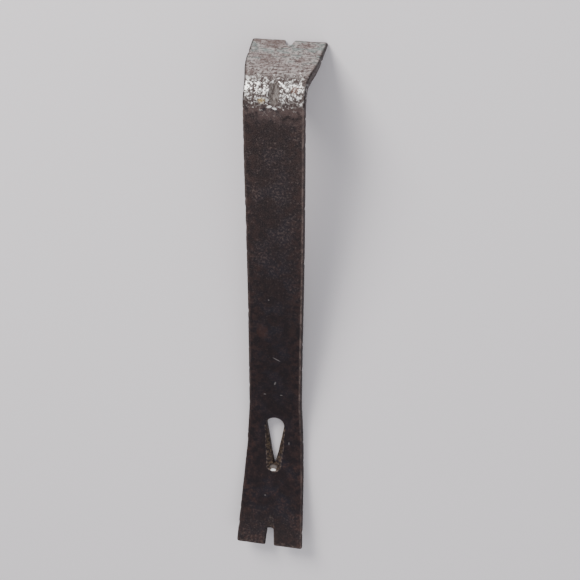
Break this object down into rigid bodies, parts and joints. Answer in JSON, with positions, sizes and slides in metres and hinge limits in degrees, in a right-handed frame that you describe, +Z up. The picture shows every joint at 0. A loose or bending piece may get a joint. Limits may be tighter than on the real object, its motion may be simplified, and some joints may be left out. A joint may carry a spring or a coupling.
{
  "type": "flat pry bar",
  "caption": "Forged flat pry bar with a sharply bent hook, a gently bent flared claw, a teardrop nail slot and nail notches in both tips.",
  "frame": {"origin": "on the floor that the bar lies on, under the middle of its bounding box", "axes": "+Z up, with the bar lying on its hook tip and the back of its claw; +Y along the bar towards the hook; +X across its width"},
  "size_m": [0.0444, 0.3298, 0.0453],
  "materials": {
    "steel": "dark worn forging scale over spring steel, rubbed bright on the outside of the hook's bend"
  },
  "bodies": {
    "root": {"forged_bar": "steel"}
  },
  "joints": []
}
